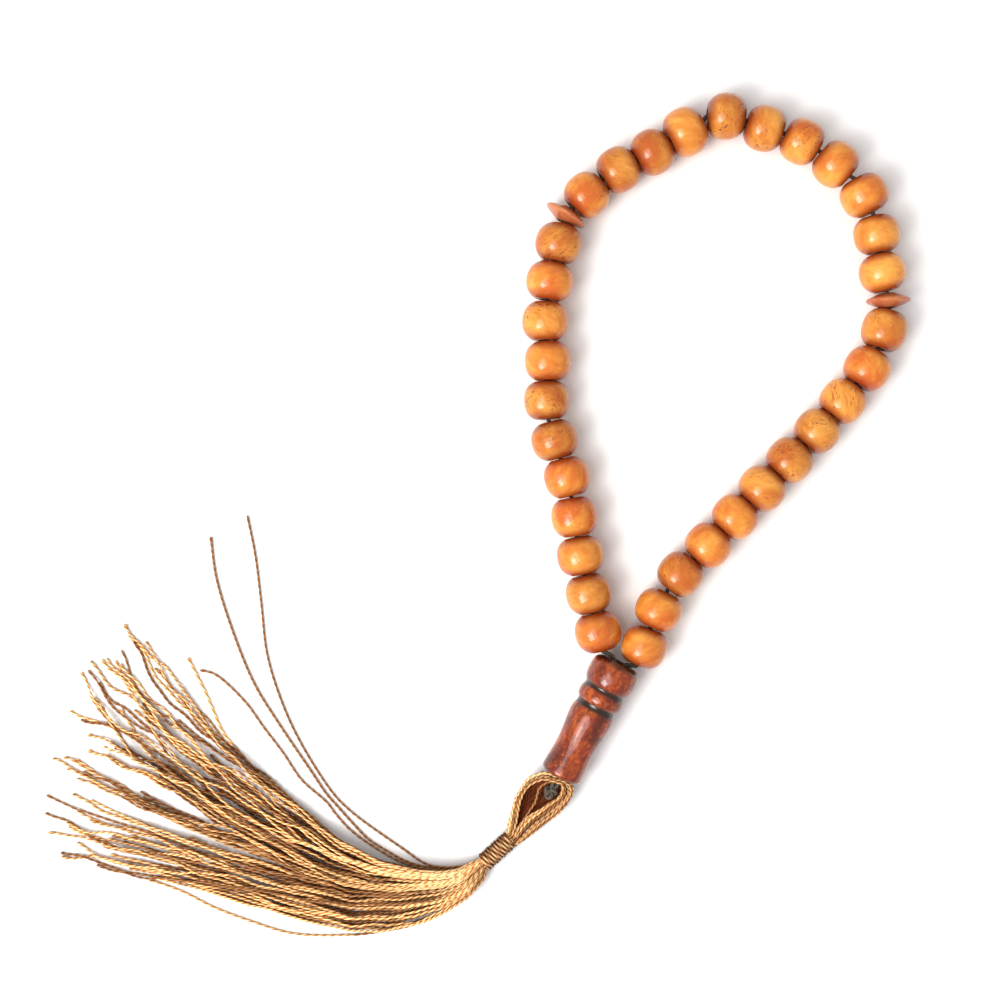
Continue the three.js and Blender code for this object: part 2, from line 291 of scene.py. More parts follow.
BEAD_WOOD = dict(
    light=colour(0.86, 0.36, 0.06), middle=colour(0.68, 0.235, 0.03), dark=colour(0.56, 0.12, 0.014),
    end=colour(0.24, 0.024, 0.005), stain=colour(0.28, 0.07, 0.014))
DISC_WOOD = dict(
    light=colour(0.6, 0.2, 0.075), middle=colour(0.48, 0.125, 0.045), dark=colour(0.34, 0.06, 0.018),
    end=colour(0.14, 0.025, 0.01), stain=colour(0.08, 0.02, 0.008))
IMAM_WOOD = dict(
    light=colour(0.54, 0.11, 0.014), middle=colour(0.28, 0.034, 0.004), dark=colour(0.1, 0.012, 0.004),
    end=colour(0.08, 0.015, 0.005), stain=colour(0.022, 0.008, 0.004))
SILK = dict(
    painted_crease_shade=colour(0.22, 0.03, 0.006), body=colour(0.95, 0.4, 0.1), painted_crest_highlight=colour(1.0, 0.71, 0.36),
    deep=colour(0.11, 0.014, 0.002))
WOUND_SILK = dict(
    painted_crease_shade=colour(0.12, 0.028, 0.007), body=colour(0.42, 0.16, 0.05), painted_crest_highlight=colour(1.0, 0.64, 0.32),
    deep=colour(0.08, 0.016, 0.004))
NYLON = dict(
    painted_crease_shade=colour(0.04, 0.03, 0.022), body=colour(0.1, 0.084, 0.066), painted_crest_highlight=colour(0.17, 0.145, 0.115),
    deep=colour(0.03, 0.025, 0.02))


# ======================= meshes =======================
def unit(vector):
    return vector / np.linalg.norm(vector)


def add_piece(name, points, faces, material, attributes):
    """A smooth mesh from points in millimetres, with a value or vector per vertex for each attribute."""
    mesh = bpy.data.meshes.new(name)
    mesh.from_pydata(((points + SHIFT) * MM).tolist(), [], faces)
    mesh.polygons.foreach_set("use_smooth", [True] * len(mesh.polygons))
    for key, values in attributes.items():
        values = np.asarray(values, dtype=np.float32)
        kind, field = ("FLOAT_VECTOR", "vector") if values.ndim == 2 else ("FLOAT", "value")
        mesh.attributes.new(key, kind, "POINT").data.foreach_set(field, values.ravel())
    mesh.materials.append(material)
    piece = bpy.data.objects.new(name, mesh)
    bpy.context.scene.collection.objects.link(piece)
    return piece


def lathe_faces(rings, sides):
    """Quads of a closed profile turned about an axis; ring r holds vertices r * sides onwards."""
    faces = []
    for ring in range(rings):
        below, above = ring * sides, ((ring + 1) % rings) * sides
        for side in range(sides):
            after = (side + 1) % sides
            faces.append((below + side, below + after, above + after, above + side))
    return faces


def turned_piece(name, profile, centre, axis, material, tint, pores, ends, stain, sides=56, lean=0.35):
    """A turned solid: profile is its closed outline, [radius, distance along the axis] in millimetres.

    ends and stain have a value for each point of the profile. lean is how far the grain turns off the axis.
    """
    profile = np.array(profile)
    side = unit(np.cross(axis, (0, 0, 1)))
    top = np.cross(side, axis)
    angle = np.linspace(0, 2 * math.pi, sides, endpoint=False)
    spoke = np.outer(np.sin(angle), side) + np.outer(np.cos(angle), top)
    points = (centre + profile[:, None, 1:] * axis + profile[:, None, :1] * spoke[None]).reshape(-1, 3)
    local = np.stack([
        (profile[:, :1] * np.sin(angle)).ravel(), (profile[:, :1] * np.cos(angle)).ravel(),
        np.repeat(profile[:, 1], sides)], axis=1)
    turn = np.linalg.qr(rng.normal(size=(3, 3)))[0]
    leaning = np.eye(3) * (1 - lean) + turn * lean
    attributes = {
        "grain": local @ leaning + rng.uniform(-500, 500, 3),
        "tint": np.full(len(points), tint),
        "pores": np.full(len(points), pores),
        "ends": np.repeat(ends, sides),
        "stain": np.repeat(stain, sides),
    }
    return add_piece(name, points, lathe_faces(len(profile), sides), material, attributes)


def smooth_route(points, step):
    """A centripetal Catmull-Rom curve through the points, cut at even steps."""
    points = np.asarray(points, float)
    padded = np.vstack([2 * points[0] - points[1], points, 2 * points[-1] - points[-2]])
    knots = np.concatenate([[0], np.cumsum(np.linalg.norm(np.diff(padded, axis=0), axis=1) ** 0.5)])
    dense = []
    for i in range(1, len(padded) - 2):
        t0, t1, t2, t3 = knots[i - 1:i + 3]
        p0, p1, p2, p3 = padded[i - 1:i + 3]
        t = np.linspace(t1, t2, 24, endpoint=False)[:, None]
        a1 = (t1 - t) / (t1 - t0) * p0 + (t - t0) / (t1 - t0) * p1
        a2 = (t2 - t) / (t2 - t1) * p1 + (t - t1) / (t2 - t1) * p2
        a3 = (t3 - t) / (t3 - t2) * p2 + (t - t2) / (t3 - t2) * p3
        b1 = (t2 - t) / (t2 - t0) * a1 + (t - t0) / (t2 - t0) * a2
        b2 = (t3 - t) / (t3 - t1) * a2 + (t - t1) / (t3 - t1) * a3
        dense.append((t2 - t) / (t2 - t1) * b1 + (t - t1) / (t2 - t1) * b2)
    dense = np.vstack([*dense, points[-1:]])
    travelled = np.concatenate([[0], np.cumsum(np.linalg.norm(np.diff(dense, axis=0), axis=1))])
    count = max(2, round(travelled[-1] / step) + 1)
    at = np.linspace(0, travelled[-1], count)
    return np.stack([np.interp(at, travelled, dense[:, k]) for k in range(dense.shape[1])], axis=1)


def length_along(path):
    return np.concatenate([[0], np.cumsum(np.linalg.norm(np.diff(path, axis=0), axis=1))])


def strand_mesh(path, radius, pitch, phase, tint, sides=8, pinch=0.2, plies=2, deep=0.0, flank_shade=0.0):
    """Points, faces and attributes of a thread of twisted plies that follows a path.

    radius, tint, deep and flanks are single values or one for each point. pinch is the depth of the creases.
    deep is painted shade along the thread, and on some threads their own darker tone; flanks is how dark
    the painted shade is on the thread's sides and below.
    """
    count = len(path)
    tangent = np.gradient(path, axis=0)
    tangent /= np.linalg.norm(tangent, axis=1)[:, None]
    across = np.empty_like(tangent)
    guide = np.cross(tangent[0], UP)
    if np.linalg.norm(guide) < 0.1:  # a path that starts upright
        guide = np.array([1.0, 0.0, 0.0])
    for i in range(count):
        guide = unit(guide - tangent[i] * (guide @ tangent[i]))
        across[i] = guide
    upward = np.cross(across, tangent)
    travelled = length_along(path)
    angle = np.linspace(0, 2 * math.pi, sides, endpoint=False)[None, :]
    twist = phase + 2 * math.pi * travelled[:, None] / pitch
    lobes = np.cos(plies * (angle - twist))
    reach = np.asarray(radius).reshape(-1, 1) * (1 - pinch + pinch * lobes)
    points = path[:, None, :] + (reach * np.cos(angle))[..., None] * across[:, None, :] \
        + (reach * np.sin(angle))[..., None] * upward[:, None, :]
    faces = []
    for i in range(count - 1):
        for k in range(sides):
            n = (k + 1) % sides
            faces.append((i * sides + k, i * sides + n, (i + 1) * sides + n, (i + 1) * sides + k))
    faces.append(tuple(range(sides - 1, -1, -1)))
    last = (count - 1) * sides
    faces.append(tuple(range(last, last + sides)))
    turned = angle - twist * 0.5
    fibre = np.stack([np.repeat(travelled, sides), np.cos(turned).ravel(), np.sin(turned).ravel()], axis=1)
    # Painted shade on the thread's sides and underside.
    painted_side_shade = np.asarray(flank_shade).reshape(-1, 1) * ease((0.62 - np.sin(angle)) / 0.5)
    painted_side_shade = np.broadcast_to(painted_side_shade, (count, sides))
    along_tone_and_shade = np.broadcast_to(deep, (count,))[:, None]
    attributes = {
        "ply": (0.5 + 0.5 * lobes).ravel(),
        "tint": np.repeat(np.broadcast_to(tint, (count,)), sides),
        "deep": np.maximum(along_tone_and_shade, painted_side_shade).ravel(),
        "fibre": fibre + 37.0 * phase,
    }
    return points.reshape(-1, 3), faces, attributes


def join_strands(name, strands, material):
    """One piece from several strand meshes."""
    points, faces, start = [], [], 0
    for p, f, _ in strands:
        faces += [tuple(v + start for v in face) for face in f]
        points.append(p)
        start += len(p)
    attributes = {key: np.concatenate([s[2][key] for s in strands]) for key in strands[0][2]}
    return add_piece(name, np.vstack(points), faces, material, attributes)


# ======================= beads, discs and imam =======================
joint_of = {joint["child"]: joint for joint in frame["joints"]}


def placed(body):
    """Centre (in millimetres, in the CAD source's coordinates) and axis of a spinning piece."""
    joint = joint_of[body]
    return np.array(joint["pos_m"]) / MM - SHIFT, unit(np.array(joint["axis"]))


def widest(node):
    """The radius of a turned CAD piece that lies level, in millimetres."""
    low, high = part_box(node)
    return (high.z - low.z) / MM / 2


def bead_outline(radius, width, end_radius, roundness):
    """A flattened ball whose ends are cut off at end_radius, and how near each point is to an end, 0 to 1.

    A roundness of 2 makes an ellipse, and a greater one a squarer outline.
    """
    half = width / 2
    reach = (1 - (end_radius / radius) ** roundness) ** (1 / roundness)
    station = np.sin(np.linspace(-math.pi / 2, math.pi / 2, 35))
    station = np.sign(station) * np.abs(station) ** 0.85  # closer together towards the ends
    outside = [[radius * (1 - abs(s * reach) ** roundness) ** (1 / roundness), s * half] for s in station]
    lip = 0.12
    low_end = [
        [BORE_RADIUS, -half + 2 * lip], [BORE_RADIUS + 0.04, -half + lip], [BORE_RADIUS + lip, -half],
        [end_radius - 0.2, -half], [end_radius - 0.06, -half + 0.03]]
    high_end = [[r, -y] for r, y in reversed(low_end)]
    profile = low_end + outside[1:-1] + high_end
    y = np.abs(np.array(profile)[:, 1]) / half
    return profile, ease((y - 0.45) / 0.58)


def add_beads():
    material = wood_material(
        "bead_wood", pores=0.57, mottle=0.35, streaks=0.45, roughness=0.42, **BEAD_WOOD)
    for number in range(1, 34):
        name = f"bead_{number:02d}"
        centre, axis = placed(name)
        radius = widest(name)
        width = BEAD_WIDTH + GROUP_WIDTH_CHANGE[(number - 1) // 11] + 0.1 * math.sin(1.7 * number)
        end_radius = BEAD_END_RADIUS + 0.12 * rng.uniform(-1, 1)
        profile, ends = bead_outline(radius, width, end_radius, 2.35 + 0.2 * rng.uniform(-1, 1))
        tint, pores = rng.uniform(-1, 1), rng.choice([0.25, 0.5, 1.0])
        stain = np.zeros(len(profile))
        # The bead is darker towards its ends: partly the end grain's own colour, partly painted shade along
        # the seams.
        piece = turned_piece(
            f"{name}_turned", profile, centre, axis, material, tint, pores, 0.9 * ends, stain)
        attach(piece, name)
        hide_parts(name)


def disc_outline(radius, width):
    """A lens, thick at its bore and almost sharp at its rim."""
    half = width / 2
    share = np.linspace(0, 1, 14)
    across = 1.25 + (radius - 1.25) * np.sin(share * math.pi / 2)
    height = half * np.interp(across, [1.25, 1.7, 3.0, 3.8, radius], [0.95, 0.86, 0.5, 0.25, 0.03])
    upper = [[r, h] for r, h in zip(across, height)]
    lower = [[r, -h] for r, h in upper]
    bore = [[BORE_RADIUS, -half + 0.25], [BORE_RADIUS + 0.06, -half * 0.96]]
    return bore + lower + upper[::-1] + [[r, -h] for r, h in reversed(bore)]


def add_discs():
    material = wood_material("disc_wood", pores=0.62, mottle=0.4, streaks=0.4, roughness=0.4, **DISC_WOOD)
    for number in (1, 2):
        name = f"divider_disc_{number}"
        centre, axis = placed(name)
        profile = disc_outline(widest(name), DISC_WIDTH)
        nothing = np.zeros(len(profile))
        tint, pores = 0.3 * number - 0.4, 0.6
        piece = turned_piece(
            f"{name}_turned", profile, centre, axis, material, tint, pores, nothing, nothing, sides=72)
        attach(piece, name)
        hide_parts(name)


IMAM_OUTLINE = [
    [1.3, 0.2], [1.5, 0.0], [3.2, 0.0], [3.6, 0.12], [3.84, 0.5], [3.88, 1.4], [3.78, 3.0], [3.66, 4.6],
    [3.64, 6.0], [3.72, 7.4], [3.88, 9.0], [4.06, 10.6], [4.16, 12.0], [4.14, 12.7], [4.02, 13.3],
    [3.8, 13.85], [3.74, 14.3], [3.84, 14.75], [4.1, 15.1], [4.26, 15.6], [4.3, 16.2], [4.22, 16.8],
    [4.02, 17.35], [3.9, 17.7],
    [3.98, 18.05], [4.28, 18.55], [4.5, 19.2], [4.63, 20.0], [4.66, 20.8], [4.6, 21.7], [4.4, 22.5],
    [3.98, 23.02], [3.3, 23.36], [2.6, 23.46], [2.0, 23.2], [1.4, 22.5], [1.3, 22.2],
]
GROOVES = ((14.25, 0.55), (17.75, 0.42))  # place along the imam and half width of each stained groove


def add_imam():
    material = wood_material(
        "imam_wood", pores=0.6, mottle=0.75, streaks=0.15, roughness=0.36, patches=0.9, coat=0.85,
        **IMAM_WOOD)
    profile = smooth_route(np.array(IMAM_OUTLINE), 0.16)
    y = profile[:, 1]
    stain = np.zeros(len(profile))
    for place, half in GROOVES:
        stain = np.maximum(stain, np.clip((half + 0.25 - np.abs(y - place)) / 0.4, 0, 1))
    # Darker also towards the top of the head.
    stain = np.maximum(stain, np.clip((y - 22.3) / 0.9, 0, 1) * 0.9)
    ends = np.clip((0.5 - y) / 0.5, 0, 1) * 0.7
    piece = turned_piece(
        "imam_turned", profile, IMAM_FOOT, imam_axis, material, 0.0, 0.8, ends, stain, sides=80, lean=0.0)
    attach(piece, "imam")
    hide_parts("imam_bead")


heading, rise = math.radians(IMAM_HEADING), math.radians(IMAM_RISE)
imam_axis = np.array([
    math.cos(heading) * math.cos(rise), math.sin(heading) * math.cos(rise), math.sin(rise)])
imam_side = unit(np.cross(imam_axis, UP))


def imam_point(side, up):
    """A point so far to the side of the imam's axis and so far up it from its foot."""
    return IMAM_FOOT + imam_side * side + imam_axis * up


# ======================= stringing cord and its knot =======================
NYLON_PLAIT = dict(pinch=0.07, plies=4)
NYLON_PITCH = 2.4


def string_order():
    """The pieces on the cord's loop, from the first bead to the last."""
    groups = [[f"bead_{n:02d}" for n in range(first, first + 11)] for first in (1, 12, 23)]
    return groups[0] + ["divider_disc_1"] + groups[1] + ["divider_disc_2"] + groups[2]


def loop_route():
    """From the imam's foot up through its bore, round through every bead, and back down beside itself."""
    order = string_order()
    past_bead, in_bead, in_disc = 3.7, 3.2, 1.0
    points = [imam_point(-STRAND_OFFSET, up) for up in (0.3, 12, 21.8)]
    points += [imam_point(-0.75, 22.9), imam_point(-1.5, 23.75), imam_point(-2.4, 24.0)]
    first, last = placed(order[0]), placed(order[-1])
    points.append(first[0] - first[1] * past_bead)
    for name in order:
        centre, axis = placed(name)
        reach = in_disc if name.startswith("divider") else in_bead
        points += [centre - axis * reach, centre + axis * reach]
    points.append(last[0] + last[1] * past_bead)
    points += [imam_point(2.3, 24.0), imam_point(1.5, 23.75), imam_point(0.75, 22.9)]
    points += [imam_point(STRAND_OFFSET, up) for up in (21.8, 12, 0.3)]
    return points


def knot_routes():
    """A trefoil below the imam, and the cord's two ends that come down to it."""
    t = np.linspace(0.35, 2 * math.pi - 0.1, 80)
    size = 0.36
    across, along = np.sin(t) + 2 * np.sin(2 * t), np.cos(t) - 2 * np.cos(2 * t)
    knot = np.stack([across, along, -np.sin(3 * t)], axis=1) * size
    knot = imam_point(-0.2, -3.7) + knot[:, :1] * imam_side + knot[:, 1:2] * imam_axis + knot[:, 2:] * UP
    left = [imam_point(-0.45, 1.0), imam_point(-0.42, -0.8), imam_point(-0.4, -2.6), knot[3]]
    right = [imam_point(0.45, 1.0), imam_point(0.42, -0.8), imam_point(0.3, -2.4), knot[-4]]
    return knot, left, right


def add_cord():
    material = thread_material("nylon_cord", roughness=0.5, **NYLON)
    path = smooth_route(loop_route(), 0.4)
    mesh = strand_mesh(path, np.full(len(path), CORD_RADIUS), NYLON_PITCH, 0.0, 0.0, sides=12, **NYLON_PLAIT)
    piece = add_piece("stringing_cord_braid", *mesh[:2], material, mesh[2])
    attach(piece, "cord")
    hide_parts("stringing_cord")

    strands = []
    for number, route in enumerate(knot_routes()):
        path = smooth_route(route, 0.25)
        size = np.full(len(path), CORD_RADIUS * 0.92)
        strands.append(strand_mesh(path, size, NYLON_PITCH, float(number), 0.0, sides=10, **NYLON_PLAIT))
    piece = join_strands("cord_knot_tied", strands, material)
    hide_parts("cord_knot")
    bend_at_imam(piece)


def bend_at_imam(piece):
    """Bake the piece's place into its mesh; nothing is bent."""
    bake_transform(piece)


# ======================= tassel =======================
# A seam is the line between two locks while they still lie together. Every route runs outwards.
SKIRT_TOP = [(-0.9, -63.9), (-3.2, -64.9), (-6.5, -65.4), (-10.4, -65.2), (-17.8, -63.6), (-25.1, -59.8),
             (-32.5, -54.1), (-39.8, -48.0), (-46.3, -43.1), (-52.7, -36.1), (-57.3, -30.2), (-61.4, -23.4)]
SEAM_1 = [(-0.2, -64.6), (-2.8, -66.0), (-6.5, -66.7), (-10.8, -66.7), (-19.6, -66.0), (-27.0, -63.9),
          (-34.3, -60.5), (-41.7, -56.4)]
SEAM_2 = [(0.7, -64.9), (-2.3, -67.2), (-6.5, -68.8), (-14.1, -69.6), (-23.3, -69.2), (-31.0, -66.9),
          (-39.8, -63.9), (-49.0, -60.6), (-56.4, -57.8), (-63.8, -54.7), (-68.5, -52.3)]
SEAM_3 = [(1.0, -65.7), (-1.8, -68.6), (-6.7, -71.1), (-14.1, -72.9), (-23.3, -73.3), (-32.5, -71.5),
          (-41.7, -68.9), (-50.9, -66.6), (-58.0, -65.2)]
SKIRT_FOOT = [(1.4, -66.9), (-1.6, -70.2), (-5.6, -73.1), (-10.4, -75.5), (-15.9, -76.8), (-23.3, -76.7),
              (-30.6, -75.2), (-36.2, -73.4), (-43.5, -71.2), (-50.9, -68.8), (-58.2, -67.2)]
LOCKS = {
    "skirt_lock_upper": dict(
        above=SKIRT_TOP, below=SEAM_1 + [(-48.1, -52.0), (-54.6, -47.2), (-60.1, -42.1), (-66.0, -36.0)],
        tips=[(-61.4, -23.4), (-65.4, -20.2), (-63.6, -23.4), (-64.7, -22.3), (-66.0, -25.0), (-67.1, -26.9),
              (-66.3, -27.6), (-68.7, -26.5), (-69.6, -26.7), (-71.7, -27.0), (-72.2, -28.7), (-73.5, -29.1),
              (-70.0, -30.9), (-71.7, -33.5), (-71.1, -33.9), (-66.0, -35.9), (-63.6, -36.1)]),
    "skirt_lock_middle": dict(
        above=SEAM_1 + [(-48.1, -53.8), (-51.8, -51.0), (-57.3, -47.4), (-62.8, -44.3), (-68.2, -42.0)],
        below=SEAM_2,
        tips=[(-75.5, -36.2), (-73.5, -37.9), (-72.2, -40.7), (-68.2, -42.0), (-68.9, -42.7), (-67.1, -43.1),
              (-68.9, -44.2), (-67.4, -45.3), (-72.2, -43.6), (-78.7, -45.1), (-76.6, -44.9), (-74.4, -45.3),
              (-76.1, -47.1), (-73.0, -47.5), (-74.2, -48.8)]),
    "skirt_lock_lower": dict(
        above=SEAM_2, below=SEAM_3 + [(-64.0, -64.0), (-70.0, -63.4)],
        tips=[(-75.0, -51.7), (-79.9, -51.9), (-71.7, -52.8), (-74.2, -54.8), (-80.1, -55.2), (-71.7, -56.5),
              (-76.1, -57.0), (-75.7, -57.8), (-79.6, -58.9), (-74.2, -60.7), (-77.2, -62.6),
              (-77.0, -63.3)]),
    "skirt_lock_outer": dict(
        above=SEAM_3, below=SKIRT_FOOT,
        tips=[(-68.5, -60.0), (-69.3, -61.5), (-68.0, -62.9), (-67.1, -64.4), (-64.5, -65.5),
              (-60.1, -67.0)]),
}
STRAYS = {
    "stray_thread_1": [(-13.0, -64.2), (-16.8, -62.2), (-20.2, -60.0), (-22.6, -57.6), (-25.5, -54.4),
                       (-27.9, -51.7), (-30.6, -47.7), (-37.1, -38.1), (-41.1, -31.6), (-44.6, -23.4),
                       (-48.3, -11.8), (-49.4, -4.0)],
    "stray_thread_2": [(-9.5, -64.6), (-14.1, -61.6), (-21.4, -56.5), (-24.2, -54.2), (-26.6, -51.7),
                       (-32.3, -42.9), (-36.0, -35.1), (-38.9, -25.8), (-40.0, -16.4), (-41.1, -7.5),
                       (-42.6, 0.0)],
    "stray_thread_3": [(-26.2, -55.4), (-27.8, -53.3), (-32.5, -49.1), (-36.0, -44.0), (-39.5, -39.4),
                       (-43.0, -34.6), (-48.6, -29.5), (-51.4, -28.7)],
    "stray_thread_4": [(-44.6, -43.3), (-46.9, -40.6), (-50.4, -32.8), (-53.6, -26.4)],
    "stray_thread_5": [(-19.4, -77.5), (-24.0, -77.9), (-34.1, -77.6), (-41.7, -75.4), (-48.9, -72.7),
                       (-54.7, -69.8), (-60.8, -67.6)],
}
# How each stray runs from the binding, inside the skirt, to where it leaves it.
STRAY_LEADS = {
    "stray_thread_1": [(-1.4, -64.6), (-4.5, -65.3), (-9.0, -65.3)],
    "stray_thread_2": [(-1.1, -64.3), (-3.5, -64.9), (-6.5, -65.1)],
    "stray_thread_3": [(-1.6, -64.9), (-6.0, -65.7), (-12.5, -64.9), (-18.5, -61.9), (-23.4, -58.4)],
    "stray_thread_4": [(-2.0, -65.4), (-6.5, -66.0), (-17.8, -64.6), (-25.3, -60.6), (-33.0, -54.6),
                       (-40.0, -48.3)],
    "stray_thread_5": [(1.2, -66.8), (-1.9, -70.3), (-5.8, -73.3), (-11.0, -75.8)],
}
RING_STEP = 0.36  # between the rings of points of a thread
DECLARED_CORDS = 40
ROUTE_POINTS = 60
binding_axis = unit(BINDING_TOP - BINDING_FOOT)
binding_side = unit(np.cross(binding_axis, UP))


def even(route, count):
    """Points of a route at even shares of its length."""
    route = np.asarray(route, float)
    travelled = length_along(route)
    at = np.linspace(0, travelled[-1], count)
    return np.stack([np.interp(at, travelled, route[:, k]) for k in range(2)], axis=1)


def ease(value):
    """Smoothly from 0 to 1 as the value goes from 0 to 1."""
    value = np.clip(value, 0, 1)
    return value * value * (3 - 2 * value)


def wander(count, amount):
    """A slow sideways drift, nought at the start."""
    along = np.linspace(0, 1, count)
    drift = np.zeros(count)
    for waves, size in ((1.3, 0.5), (2.7, 0.3), (5.5, 0.16), (11.0, 0.09)):
        start = rng.uniform(0, 2 * math.pi)
        drift += size * np.sin(2 * math.pi * waves * along + start)
    return amount * (drift - drift[0]) * ease(along / 0.25)


class Pile:
    """Heights of the threads laid so far, on a fine grid, so that the next one comes to rest on them."""

    CELL = 0.14
    PRESSED = 3.3  # above this height the threads sink into each other,
    SPRINGY = 0.45  # and only this share of the rest is left
    SLOPE = 0.22  # how steeply a thread comes down from one that it crosses

    def __init__(self):
        self.origin = np.array([-84.0, -82.0])
        self.top = np.zeros((640, 620))

    def cells(self, path, reach):
        """The cells within reach of each point of a path, and how far each is from it."""
        steps = int(math.ceil(reach / self.CELL))
        offsets = np.array([(i, j) for i in range(-steps, steps + 1) for j in range(-steps, steps + 1)])
        base = np.round((path[:, None, :2] - self.origin) / self.CELL).astype(int) + offsets[None]
        gap = np.linalg.norm(base * self.CELL + self.origin - path[:, None, :2], axis=2)
        return base, gap

    def rest(self, path, radius):
        """Height of the thread's middle along its path when it lies on what is below it."""
        base, gap = self.cells(path, radius)
        inside = gap < radius
        lift = np.sqrt(np.maximum(radius ** 2 - gap ** 2, 0))
        need = np.where(inside, self.top[base[..., 0], base[..., 1]] + lift, radius).max(axis=1)
        step = np.linalg.norm(np.diff(path[:, :2], axis=0), axis=1)
        for i in range(1, len(need)):
            need[i] = max(need[i], need[i - 1] - self.SLOPE * step[i - 1])
        for i in range(len(need) - 2, -1, -1):
            need[i] = max(need[i], need[i + 1] - self.SLOPE * step[i])
        kernel = np.hanning(9)
        kernel /= kernel.sum()
        padded = np.pad(need, 4, mode="edge")
        height = np.maximum(np.convolve(padded, kernel, mode="valid"), need - 0.05)
        return np.minimum(height, self.PRESSED + self.SPRINGY * (height - self.PRESSED))

    def lay(self, path, radius):
        """Put a thread on the pile; the next one settles a little into it."""
        firm = 0.86
        base, gap = self.cells(path, radius)
        top = path[:, 2:3] + firm * np.sqrt(np.maximum(radius ** 2 - gap ** 2, 0))
        top = np.where(gap < radius, top, 0)
        np.maximum.at(self.top, (base[..., 0].ravel(), base[..., 1].ravel()), top.ravel())

    def crown(self, reach=0.9):
        """The height of the highest thread within reach of each place."""
        steps = int(round(reach / self.CELL))
        shifts = range(-steps, steps + 1)
        highest = self.top
        for axis in (0, 1):
            highest = np.maximum.reduce([np.roll(highest, shift, axis) for shift in shifts])
        return highest

    def depth(self, path, crown):
        """How far each point of a path lies below the crown."""
        at = np.round((path[:, :2] - self.origin) / self.CELL).astype(int)
        return crown[at[:, 0], at[:, 1]] - path[:, 2]


UNDER_THREADS = {
    "skirt_lock_upper": 16, "skirt_lock_middle": 15, "skirt_lock_lower": 15, "skirt_lock_outer": 12}
STRAY, UNDER, UPPER = -1, 0, 1  # the layers of the skirt


def lane_route(above, below, share, drift, tip):
    """A thread's route in plan: between two edges at first, and then off to its own tip."""
    lane = np.clip(share + wander(len(above), drift), 0.0, 1.0)[:, None]
    route = above * (1 - lane) + below * lane
    pull = ease((np.linspace(0, 1, len(above)) - 0.4) / 0.6)[:, None]
    return route + (np.array(tip) - route[-1]) * pull


def skirt_threads():
    """Every thread of the skirt: its node, its route in plan, its place across the bundle and its layer."""
    threads = []
    for order, (lock, edges) in enumerate(LOCKS.items()):
        above, below = even(edges["above"], ROUTE_POINTS), even(edges["below"], ROUTE_POINTS)
        tips = edges["tips"]
        for i, tip in enumerate(tips):
            share = np.clip((i + 0.5 + rng.uniform(-1.5, 1.5)) / len(tips), 0.02, 0.98)
            threads.append(dict(
                name=f"{lock}_thread_{i + 1:02d}", node=lock, layer=UPPER,
                across=(order + share) / len(LOCKS),
                plan=lane_route(above, below, share, 0.2, tip)))
        for i in range(UNDER_THREADS[lock]):
            share = (i + rng.uniform(0.1, 0.9)) / UNDER_THREADS[lock]
            at = share * (len(tips) - 1)
            before, after = np.array(tips[int(at)]), np.array(tips[min(int(at) + 1, len(tips) - 1)])
            tip = before * (1 - at % 1) + after * (at % 1)
            route = lane_route(above, below, share, 0.12, tip)
            threads.append(dict(
                name=f"{lock}_under_{i + 1:02d}", node=lock, layer=UNDER, across=(order + share) / len(LOCKS),
                plan=route[:int(ROUTE_POINTS * rng.uniform(0.66, 0.93))]))
    for node, route in STRAYS.items():
        across = 1.0 if node == "stray_thread_5" else 0.05
        threads.append(dict(
            name=f"{node}_silk", node=node, layer=STRAY, across=across,
            plan=np.array(STRAY_LEADS[node] + route, float)))
    return threads


def gather(threads):
    """Give each thread its place in the binding, across (u) and up (v), and put the lowest first."""
    core = 1.2
    heights = {STRAY: (0.2, 0.5), UNDER: (-1.0, -0.1), UPPER: (-0.6, 1.0)}
    for thread in threads:
        u = (1 - 2 * thread["across"]) * core * 0.95
        room = math.sqrt(max(core ** 2 - u ** 2, 0.05))
        thread["u"], thread["v"] = u, rng.uniform(*heights[thread["layer"]]) * room
    threads.sort(key=lambda thread: thread["v"] + 9 * thread["layer"])


def settle(thread, pile):
    """Run a thread out of the binding and lay it on the pile."""
    inside = [BINDING_FOOT + binding_axis * up - binding_side * thread["u"] for up in (2.2, 0.9, -0.2)]
    plan = np.vstack([[p[:2] for p in inside], thread["plan"]])
    path2 = smooth_route(plan, RING_STEP)
    travelled = length_along(path2)
    radius = THREAD_RADIUS * rng.uniform(0.92, 1.1)
    path = np.column_stack([path2, np.zeros(len(path2))])
    settled = pile.rest(path, radius)
    bundle = BINDING_FOOT[2] + thread["v"]
    free = ease((travelled - 2.4) / 5.0)
    path[:, 2] = np.maximum(bundle * (1 - free) + settled * free, radius + 0.02)
    pile.lay(path[free > 0.25], radius)
    thread.update(path=path, radius=radius)


